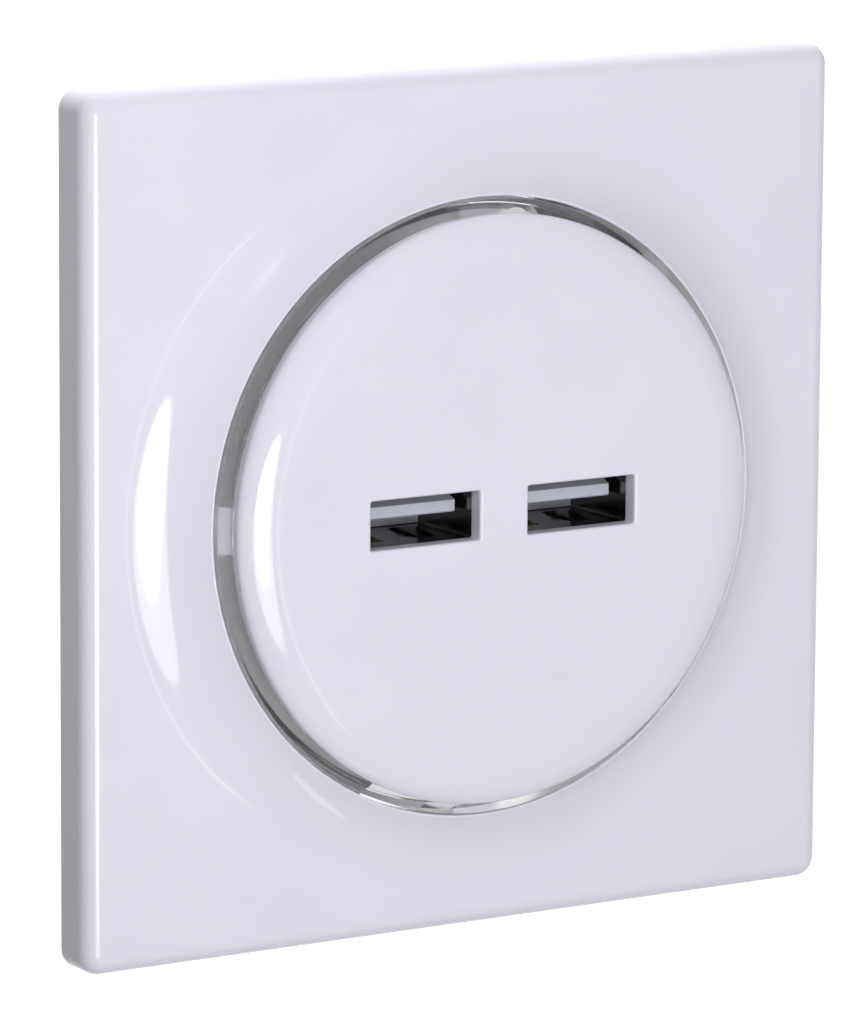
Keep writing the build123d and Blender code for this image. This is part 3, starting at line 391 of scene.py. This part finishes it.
# Dark tint, light tint, roughness from and to, grain scale, grain depth
MOULDINGS = {
    "tongue_plastic": ((0.52, 0.54, 0.62), (0.575, 0.595, 0.675), (0.3, 0.45), 3000, 0.003),
    "housing_plastic": ((0.040, 0.042, 0.046), (0.055, 0.058, 0.062), (0.42, 0.6), 2600, 0.03),
    "board_green": ((0.008, 0.075, 0.028), (0.014, 0.12, 0.045), (0.2, 0.34), 900, 0.01),
    "black_moulding": ((0.012, 0.012, 0.013), (0.02, 0.02, 0.022), (0.4, 0.55), 3200, 0.01),
    "ferrite": ((0.022, 0.022, 0.024), (0.042, 0.042, 0.045), (0.5, 0.7), 4000, 0.02),
    "bobbin_plastic": ((0.015, 0.013, 0.013), (0.026, 0.023, 0.022), (0.35, 0.5), 2800, 0.01),
    "winding_tape": ((0.62, 0.36, 0.02), (0.74, 0.45, 0.04), (0.2, 0.3), 1200, 0.02),
    "capacitor_sleeve": ((0.006, 0.010, 0.045), (0.010, 0.016, 0.07), (0.2, 0.3), 1400, 0.01),
    "resistor_coat": ((0.03, 0.09, 0.065), (0.045, 0.13, 0.09), (0.35, 0.5), 2400, 0.015),
    "disc_coat": ((0.006, 0.04, 0.21), (0.010, 0.06, 0.28), (0.15, 0.25), 1000, 0.01),
    "terminal_plastic": ((0.44, 0.44, 0.42), (0.50, 0.50, 0.48), (0.35, 0.5), 2800, 0.012),
}
# Dark tint, light tint, roughness from and to, scale of the marks, their stretch, their depth
METALS = {
    # plated_steel is tinted far darker than bare plating: painted shade for the deep port interiors
    "plated_steel": ((0.10, 0.097, 0.095), (0.16, 0.155, 0.15), (0.1, 0.2), 900, (1, 0.08, 1), 0.004),
    "gold_contact": ((0.78, 0.52, 0.18), (0.92, 0.68, 0.28), (0.15, 0.3), 1500, (1, 0.1, 1), 0.002),
    "rivet_metal": ((0.62, 0.63, 0.65), (0.78, 0.79, 0.80), (0.3, 0.5), 1800, (1, 1, 1), 0.006),
    "screw_steel": ((0.55, 0.55, 0.52), (0.72, 0.72, 0.69), (0.22, 0.4), 1600, (1, 0.2, 1), 0.005),
    "tinned_pin": ((0.66, 0.65, 0.61), (0.80, 0.79, 0.75), (0.2, 0.35), 1500, (1, 0.1, 1), 0.003),
    "terminal_brass": ((0.62, 0.42, 0.14), (0.78, 0.56, 0.22), (0.2, 0.38), 1500, (0.2, 1, 1), 0.004),
}
MATERIALS = {slot: moulding(slot, *values) for slot, values in MOULDINGS.items()}
MATERIALS |= {slot: metal(slot, *values) for slot, values in METALS.items()}
MATERIALS["galvanised_steel"] = galvanised("galvanised_steel")

for part in frame["record"]["subparts"]:
    if part["material_slot"] in MATERIALS:
        mesh = nodes[part["node"]].data
        mesh.materials.clear()
        mesh.materials.append(MATERIALS[part["material_slot"]])


# Cover frame

FLARE_TOP = FRAME_EDGE + FLARE_ARC_R
lip_run = FLARE_R - LIP_R - LIP_ROUND
LIP_CENTRE = FLARE_TOP - sqrt((FLARE_ARC_R + LIP_ROUND) ** 2 - lip_run**2)
flare_turn = asin(lip_run / (FLARE_ARC_R + LIP_ROUND))
under_arc_r = FLARE_ARC_R + FRAME_WALL
under_turn = asin((FLARE_R - LIP_R) / under_arc_r)
inner_half = FRAME_HALF - FRAME_WALL
inner_corner = FRAME_CORNER - FRAME_WALL


def frame_circle(radius, height):
    return circle_loop(radius, height, FRAME_ANGLES)


def build_frame():
    """Square frame with its edge rounding, flare, lip, hollow back, lugs and ribs."""
    loops = [square_loop(FRAME_HALF, FRAME_CORNER, 0)]
    loops.append(square_loop(FRAME_HALF, FRAME_CORNER, FRAME_EDGE - FRAME_ROUND - SUPPORT))
    for t in spread(0, pi / 2, EDGE_STEPS):
        inset = FRAME_ROUND * (1 - cos(t))
        height = FRAME_EDGE - FRAME_ROUND * (1 - sin(t))
        loops.append(square_loop(FRAME_HALF - inset, FRAME_CORNER - inset, height))
    inset = FRAME_ROUND + SUPPORT
    loops.append(square_loop(FRAME_HALF - inset, FRAME_CORNER - inset, FRAME_EDGE))
    loops.append(frame_circle(FLARE_R + SUPPORT, FRAME_EDGE))
    for t in spread(0, flare_turn, FLARE_STEPS):
        loops.append(frame_circle(FLARE_R - FLARE_ARC_R * sin(t), FLARE_TOP - FLARE_ARC_R * cos(t)))
    for t in spread(pi / 2 - flare_turn, pi, LIP_STEPS)[1:]:
        loops.append(frame_circle(LIP_R + LIP_ROUND * (1 + cos(t)), LIP_CENTRE + LIP_ROUND * sin(t)))
    for t in spread(under_turn, 0, UNDER_STEPS):
        loops.append(frame_circle(FLARE_R - under_arc_r * sin(t), FLARE_TOP - under_arc_r * cos(t)))
    loops.append(square_loop(inner_half, inner_corner, FRAME_EDGE - FRAME_WALL))
    loops.append(square_loop(inner_half, inner_corner, 0))
    bm = bmesh.new()
    loft(bm, loops, closed=True)
    lug_top, lug_back = RING_BOTTOM - FILM, RING_BOTTOM - LUG_T
    lug = ((LUG_TIP, lug_back), (LUG_ROOT, lug_back), (LUG_ROOT, lug_top), (LUG_TIP, lug_top))
    rib = ((RIB_TIP, FILM), (RIB_ROOT, FILM), (RIB_ROOT, RIB_H), (RIB_TIP, RIB_H))
    for quarter in range(4):
        turn = quarter * pi / 2
        prism(bm, lug, LUG_W, turn)
        prism(bm, rib, RIB_T, turn, -RIB_OFFSET)
        prism(bm, rib, RIB_T, turn, RIB_OFFSET)
    finish_piece(bm, "frame_moulding", "cover_frame", WHITE)


# Centre cover

def turned(profile):
    """Loops about the centre axis for a row of radii and heights."""
    return [circle_loop(radius, height, TURN_ANGLES) for radius, height in profile]


def build_cover():
    """Round cover with its elliptic edge, skirt, port openings and snap legs."""
    flat_r = COVER_R - COVER_ROUND_W
    inner_r = SKIRT_R - SKIRT_WALL
    inside = [(inner_r - SKIRT_BEVEL, COVER_INSIDE), (inner_r, COVER_INSIDE - SKIRT_BEVEL)]
    inside.append((inner_r, SKIRT_END))
    outside = [(SKIRT_R, SKIRT_END), (SKIRT_R, RIM_SEAT), (COVER_R, RIM_SEAT)]
    for t in spread(0, pi / 2, RIM_STEPS):
        outside.append((flat_r + COVER_ROUND_W * cos(t), RIM_HEIGHT + COVER_ROUND_H * sin(t)))
    outside.append((flat_r - SUPPORT, COVER_HEIGHT))
    bm = bmesh.new()
    shell = loft(bm, turned(inside + outside))
    face_holes, back_holes = [shell[-1]], [shell[0]]
    for centre in (-PORT_PITCH / 2, PORT_PITCH / 2):
        rows = [port_loop(centre, PORT_ROUND + SUPPORT, COVER_HEIGHT)]
        for t in spread(0, pi / 2, PORT_STEPS):
            drop = PORT_ROUND * (1 - cos(t))
            rows.append(port_loop(centre, PORT_ROUND * (1 - sin(t)), COVER_HEIGHT - drop))
        rows.append(port_loop(centre, 0, COVER_INSIDE))
        port = loft(bm, rows)
        face_holes.append(port[0])
        back_holes.append(port[-1])
    fill_between(bm, face_holes)
    fill_between(bm, back_holes)
    for turn, seat in ((0, LEG_SEAT_X), (pi / 2, LEG_SEAT_Z), (pi, LEG_SEAT_X), (3 * pi / 2, LEG_SEAT_Z)):
        near, far = seat + LEG_GAP, seat + LEG_GAP + LEG_T
        root = COVER_INSIDE + COVER_WALL / 2
        tip = LEG_CATCH - LEG_TIP
        outline = ((near, root), (far, root), (far, LEG_CATCH), (far + LEG_BARB, LEG_CATCH))
        outline += ((near + LEG_T / 2, tip), (near, tip))
        prism(bm, outline, LEG_W, turn)
    finish_piece(bm, "cover_moulding", "centre_cover", WHITE)


# Clear ring

def bevelled(profile, size):
    """Closed outline with each corner cut off by a small straight bevel."""
    points = []
    count = len(profile)
    for i, corner in enumerate(profile):
        for other in (profile[i - 1], profile[(i + 1) % count]):
            run = hypot(other[0] - corner[0], other[1] - corner[1])
            share = size / run
            points.append(tuple(c + (o - c) * share for c, o in zip(corner, other)))
    return points


def build_ring():
    """Clear ring with a sloping front, softened edges, a frosted back and a dark-tinted strip on it,
    which is painted shade beside the cover.
    """
    outline = [(RING_IN_R, RING_BOTTOM), (RING_FROST_R, RING_BOTTOM)]
    outline += [(RING_OUT_R, RING_BOTTOM), (RING_OUT_R, RING_LOW_EDGE)]
    outline += [(COVER_R, RIM_SEAT - FILM), (RING_IN_R, RIM_SEAT - FILM)]
    bm = bmesh.new()
    loft(bm, turned(bevelled(outline, RING_BEVEL)), closed=True)
    ring = finish_piece(bm, "clear_trim_ring", "clear_ring", CLEAR)
    ring.data.materials.append(PAINTED_SHADE)
    ring.data.materials.append(FROSTED)
    for face in ring.data.polygons:
        outer = hypot(face.center.x, face.center.z) > RING_FROST_R * MM
        if outer and face.normal.y > RING_AWAY:
            face.material_index = 2
        # Flat back faces inside the frosted band take the dark tint, which is painted shade
        elif face.normal.y > RING_BACK:
            face.material_index = 1
    ring.visible_shadow = False


build_frame()
build_cover()
build_ring()


# Camera at the photograph's viewing angle

IMAGE_H = 1024
SENSOR = 36.0
FOCAL_PX = 7065
CAMERA_AZIMUTH = radians(31.852)
CAMERA_ELEVATION = radians(10.386)
CAMERA_ROLL = radians(0.3545)
CAMERA_DISTANCE = 686.1
CAMERA_TARGET = Vector((-3.855, -5.0, -0.628))
CAMERA_CLIP = 0.01


def add_camera():
    back = Vector((
        -sin(CAMERA_AZIMUTH) * cos(CAMERA_ELEVATION),
        -cos(CAMERA_AZIMUTH) * cos(CAMERA_ELEVATION),
        sin(CAMERA_ELEVATION),
    ))
    level = Vector((0, 0, 1)).cross(back).normalized()
    upward = back.cross(level)
    right = level * cos(CAMERA_ROLL) + upward * sin(CAMERA_ROLL)
    up = upward * cos(CAMERA_ROLL) - level * sin(CAMERA_ROLL)
    camera = bpy.data.objects.new("camera", bpy.data.cameras.new("camera"))
    camera.data.sensor_width = SENSOR
    camera.data.lens = FOCAL_PX * SENSOR / IMAGE_H
    camera.data.clip_start = CAMERA_CLIP
    turn = Matrix((right, up, back)).transposed().to_4x4()
    camera.matrix_world = Matrix.Translation((CAMERA_TARGET + back * CAMERA_DISTANCE) * MM) @ turn
    bpy.context.scene.collection.objects.link(camera)
    bpy.context.scene.camera = camera


add_camera()


# Soft studio light

def add_softbox(name, azimuth, elevation, distance, width, height, radiance, shape="RECTANGLE"):
    """Softbox that looks at the object; azimuth 0 is straight in front, positive to the right."""
    a, e = radians(azimuth), radians(elevation)
    back = Vector((sin(a) * cos(e), -cos(a) * cos(e), sin(e)))
    light = bpy.data.lights.new(name, "AREA")
    light.shape = shape
    light.size = width
    light.size_y = height
    area = width * height * (pi / 4 if shape == "ELLIPSE" else 1)
    light.energy = radiance * pi * area
    lamp = bpy.data.objects.new(name, light)
    lamp.location = back * distance
    lamp.rotation_mode = "QUATERNION"
    lamp.rotation_quaternion = (-back).to_track_quat("-Z", "Y")
    lamp.visible_camera = False
    bpy.context.scene.collection.objects.link(lamp)
    return lamp


# Name, azimuth and elevation in degrees, distance, width and height in metres, radiance, shape
SOFTBOXES = (
    ("key", -4.8, -11.4, 0.6, 0.298, 0.295, 4.2, "ELLIPSE"),
    ("key_core", -4.8, -7.5, 0.6, 0.24, 0.2, 4.0, "ELLIPSE"),
    ("strip", 15.5, -10, 0.6, 0.014, 0.42, 2.4),
    ("low_glow", 0, -63, 0.38, 0.1, 0.028, 2.2, "ELLIPSE"),
    ("high_glow", -7, 28.5, 0.6, 0.09, 0.07, 1.6, "ELLIPSE"),
)
# The same, for lamps that cast light and show in no reflection
FILLS = (
    ("front_fill", -16, 22, 0.3, 0.38, 0.27, 1.6),
    ("left_fill", -75, 55, 0.2, 0.1, 0.08, 1.0),
    ("top_back", 180, 62, 0.3, 0.225, 0.15, 9.0),
)
for softbox in SOFTBOXES:
    add_softbox(*softbox)
for softbox in FILLS:
    fill = add_softbox(*softbox)
    fill.visible_glossy = False
    fill.visible_transmission = False


def seen_ray(tree):
    """1 where a camera, glossy or transmission ray looks, and 0 for light on the object."""
    path = tree.nodes.new("ShaderNodeLightPath")
    total = path.outputs["Is Camera Ray"]
    for name in ("Is Glossy Ray", "Is Transmission Ray"):
        pick = tree.nodes.new("ShaderNodeMath")
        pick.operation = "MAXIMUM"
        tree.links.new(total, pick.inputs[0])
        tree.links.new(path.outputs[name], pick.inputs[1])
        total = pick.outputs["Value"]
    return total


WHITE_LIGHT = (1, 1, 1, 1)
WORLD_TINT = (0.97, 0.97, 1.0, 1)
WORLD_FILL = 0.13


def add_world():
    world = bpy.data.worlds.new("studio")
    bpy.context.scene.world = world
    world.use_nodes = True
    tree = world.node_tree
    fill = tree.nodes["Background"]
    fill.inputs["Color"].default_value = WORLD_TINT
    fill.inputs["Strength"].default_value = WORLD_FILL
    white = tree.nodes.new("ShaderNodeBackground")
    white.inputs["Color"].default_value = WHITE_LIGHT
    white.inputs["Strength"].default_value = 1.0
    mix = tree.nodes.new("ShaderNodeMixShader")
    tree.links.new(seen_ray(tree), mix.inputs["Fac"])
    tree.links.new(fill.outputs["Background"], mix.inputs[1])
    tree.links.new(white.outputs["Background"], mix.inputs[2])
    tree.links.new(mix.outputs["Shader"], tree.nodes["World Output"].inputs["Surface"])


add_world()

FLOOR_HEIGHT = -0.42
FLOOR_SIZE = 12.0
FLOOR_CELLS = 8
FLOOR_TINT = (0.62, 0.62, 0.63, 1)
FLOOR_ROUGHNESS = 0.9


def add_floor():
    """Pale floor, white to the eye, that keeps the object's shadow."""
    bm = bmesh.new()
    bmesh.ops.create_grid(bm, x_segments=FLOOR_CELLS, y_segments=FLOOR_CELLS, size=FLOOR_SIZE / 2)
    mesh = bpy.data.meshes.new("floor")
    bm.to_mesh(mesh)
    bm.free()
    floor = bpy.data.objects.new("floor", mesh)
    floor.location = (0, 0, FLOOR_HEIGHT)
    bpy.context.scene.collection.objects.link(floor)
    material, tree, shader = new_material("floor", Base_Color=FLOOR_TINT, Roughness=FLOOR_ROUGHNESS)
    glow = tree.nodes.new("ShaderNodeEmission")
    glow.inputs["Color"].default_value = WHITE_LIGHT
    tree.links.new(seen_ray(tree), glow.inputs["Strength"])
    total = tree.nodes.new("ShaderNodeAddShader")
    tree.links.new(shader.outputs["BSDF"], total.inputs[0])
    tree.links.new(glow.outputs["Emission"], total.inputs[1])
    tree.links.new(total.outputs["Shader"], tree.nodes["Material Output"].inputs["Surface"])
    mesh.materials.append(material)


add_floor()

bpy.context.scene.view_settings.view_transform = "Standard"
